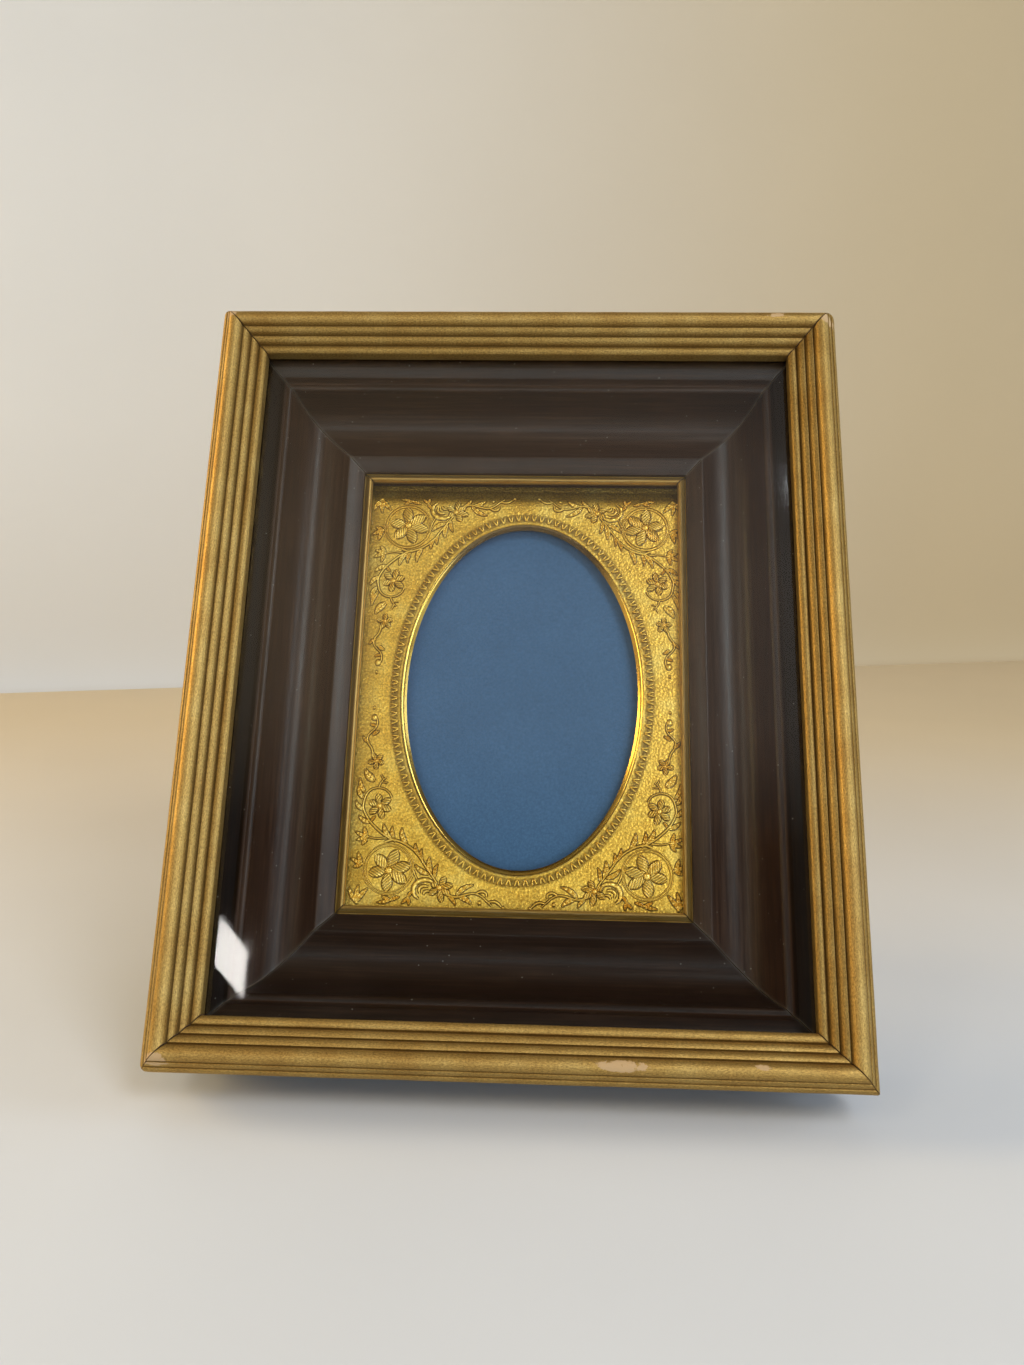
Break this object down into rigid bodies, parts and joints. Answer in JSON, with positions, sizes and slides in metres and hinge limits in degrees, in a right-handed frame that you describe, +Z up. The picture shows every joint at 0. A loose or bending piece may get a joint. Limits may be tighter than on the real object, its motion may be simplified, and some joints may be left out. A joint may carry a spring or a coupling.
{
  "type": "picture frame",
  "caption": "Table-top shadow-box picture frame with reeded gold rails, glass, a dark cove liner, a gilt slip, an oval brass mat and a folding easel strut behind.",
  "frame": {"origin": "on the table under the middle of the whole object's box, between the bottom edge and the strut's foot", "axes": "+Z up, the glazed front faces -Y and leans back towards +Y, +X to the viewer's right"},
  "size_m": [0.1466, 0.1086, 0.1675],
  "materials": {
    "gold_paint": "worn gold bronze paint on wood",
    "glass": "clear polished",
    "dark_wood": "satin varnish over dark stain",
    "gilt": "burnished gilt on wood",
    "mat_brass": "stippled and embossed, polished rim",
    "blue_card": "matte",
    "board": "smooth hardboard",
    "steel": "dull zinc plate",
    "button_brass": "brass plate"
  },
  "bodies": {
    "frame": {"gold_rail_top": "gold_paint", "gold_rail_bottom": "gold_paint", "gold_rail_left": "gold_paint", "gold_rail_right": "gold_paint", "glass_pane": "glass", "liner_rail_top": "dark_wood", "liner_rail_bottom": "dark_wood", "liner_rail_left": "dark_wood", "liner_rail_right": "dark_wood", "slip_rail_top": "gilt", "slip_rail_bottom": "gilt", "slip_rail_left": "gilt", "slip_rail_right": "gilt", "brass_mat": "mat_brass", "blue_card": "blue_card", "backing_board": "board", "liner_nail_top": "steel", "liner_nail_bottom": "steel", "liner_nail_left": "steel", "liner_nail_right": "steel", "button_screw_left_upper": "button_brass", "button_screw_left_lower": "button_brass", "button_screw_right_upper": "button_brass", "button_screw_right_lower": "button_brass", "strut_bracket": "steel", "strut_pin": "steel", "bracket_rivet_1": "steel", "bracket_rivet_2": "steel", "bracket_rivet_3": "steel", "bracket_rivet_4": "steel"},
    "strut": {"easel_strut": "board"},
    "button_left_upper": {"turn_button_left_upper": "button_brass"},
    "button_left_lower": {"turn_button_left_lower": "button_brass"},
    "button_right_upper": {"turn_button_right_upper": "button_brass"},
    "button_right_lower": {"turn_button_right_lower": "button_brass"}
  },
  "joints": [
    {"name": "strut_fold", "type": "hinge", "parent": "frame", "child": "strut", "pos_m": [0, 0.02398, 0.09227], "axis": [-1, 0, 0], "range_deg": [0, 42]},
    {"name": "button_left_upper_turn", "type": "hinge", "parent": "frame", "child": "button_left_upper", "pos_m": [-0.04695, 0.02301, 0.10155], "axis": [0, 0.9063, -0.4226], "continuous": true},
    {"name": "button_left_lower_turn", "type": "hinge", "parent": "frame", "child": "button_left_lower", "pos_m": [-0.04695, -0.00065, 0.0508], "axis": [0, 0.9063, -0.4226], "continuous": true},
    {"name": "button_right_upper_turn", "type": "hinge", "parent": "frame", "child": "button_right_upper", "pos_m": [0.04695, 0.02301, 0.10155], "axis": [0, 0.9063, -0.4226], "continuous": true},
    {"name": "button_right_lower_turn", "type": "hinge", "parent": "frame", "child": "button_right_lower", "pos_m": [0.04695, -0.00065, 0.0508], "axis": [0, 0.9063, -0.4226], "continuous": true}
  ]
}
